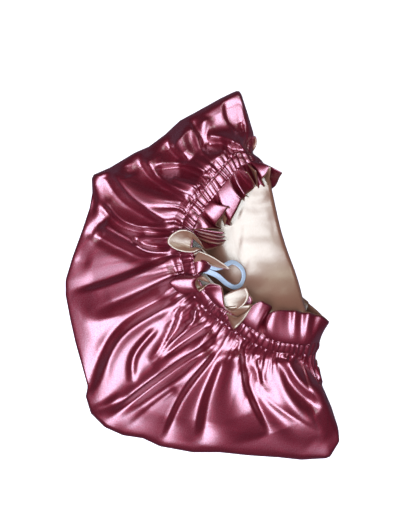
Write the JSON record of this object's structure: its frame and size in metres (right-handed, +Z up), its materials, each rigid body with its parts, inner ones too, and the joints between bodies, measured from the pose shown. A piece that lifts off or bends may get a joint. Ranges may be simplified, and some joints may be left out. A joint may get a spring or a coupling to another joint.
{
  "type": "sleep bonnet",
  "caption": "Double-layer satin sleep bonnet lying on its side: a gathered crown, a stitched elastic casing, a ruffle and a loop of flat elastic.",
  "frame": {"origin": "on the table, under the flat underside of the crown, near the middle of the bonnet", "axes": "+Z up from the table; the mouth of the bonnet faces +X and the crown lies towards -X; Y runs along the table across the mouth, as the picture's upright"},
  "size_m": [0.246, 0.3302, 0.0619],
  "materials": {
    "rose_satin": "shiny rose satin",
    "champagne_satin": "shiny champagne satin",
    "blue_elastic": "matt light-blue flat elastic"
  },
  "bodies": {
    "root": {"crown_face": "rose_satin", "crown_lining": "champagne_satin", "elastic_casing": "rose_satin", "ruffle_face": "rose_satin", "ruffle_lining": "champagne_satin", "elastic_loop": "blue_elastic"}
  },
  "joints": []
}
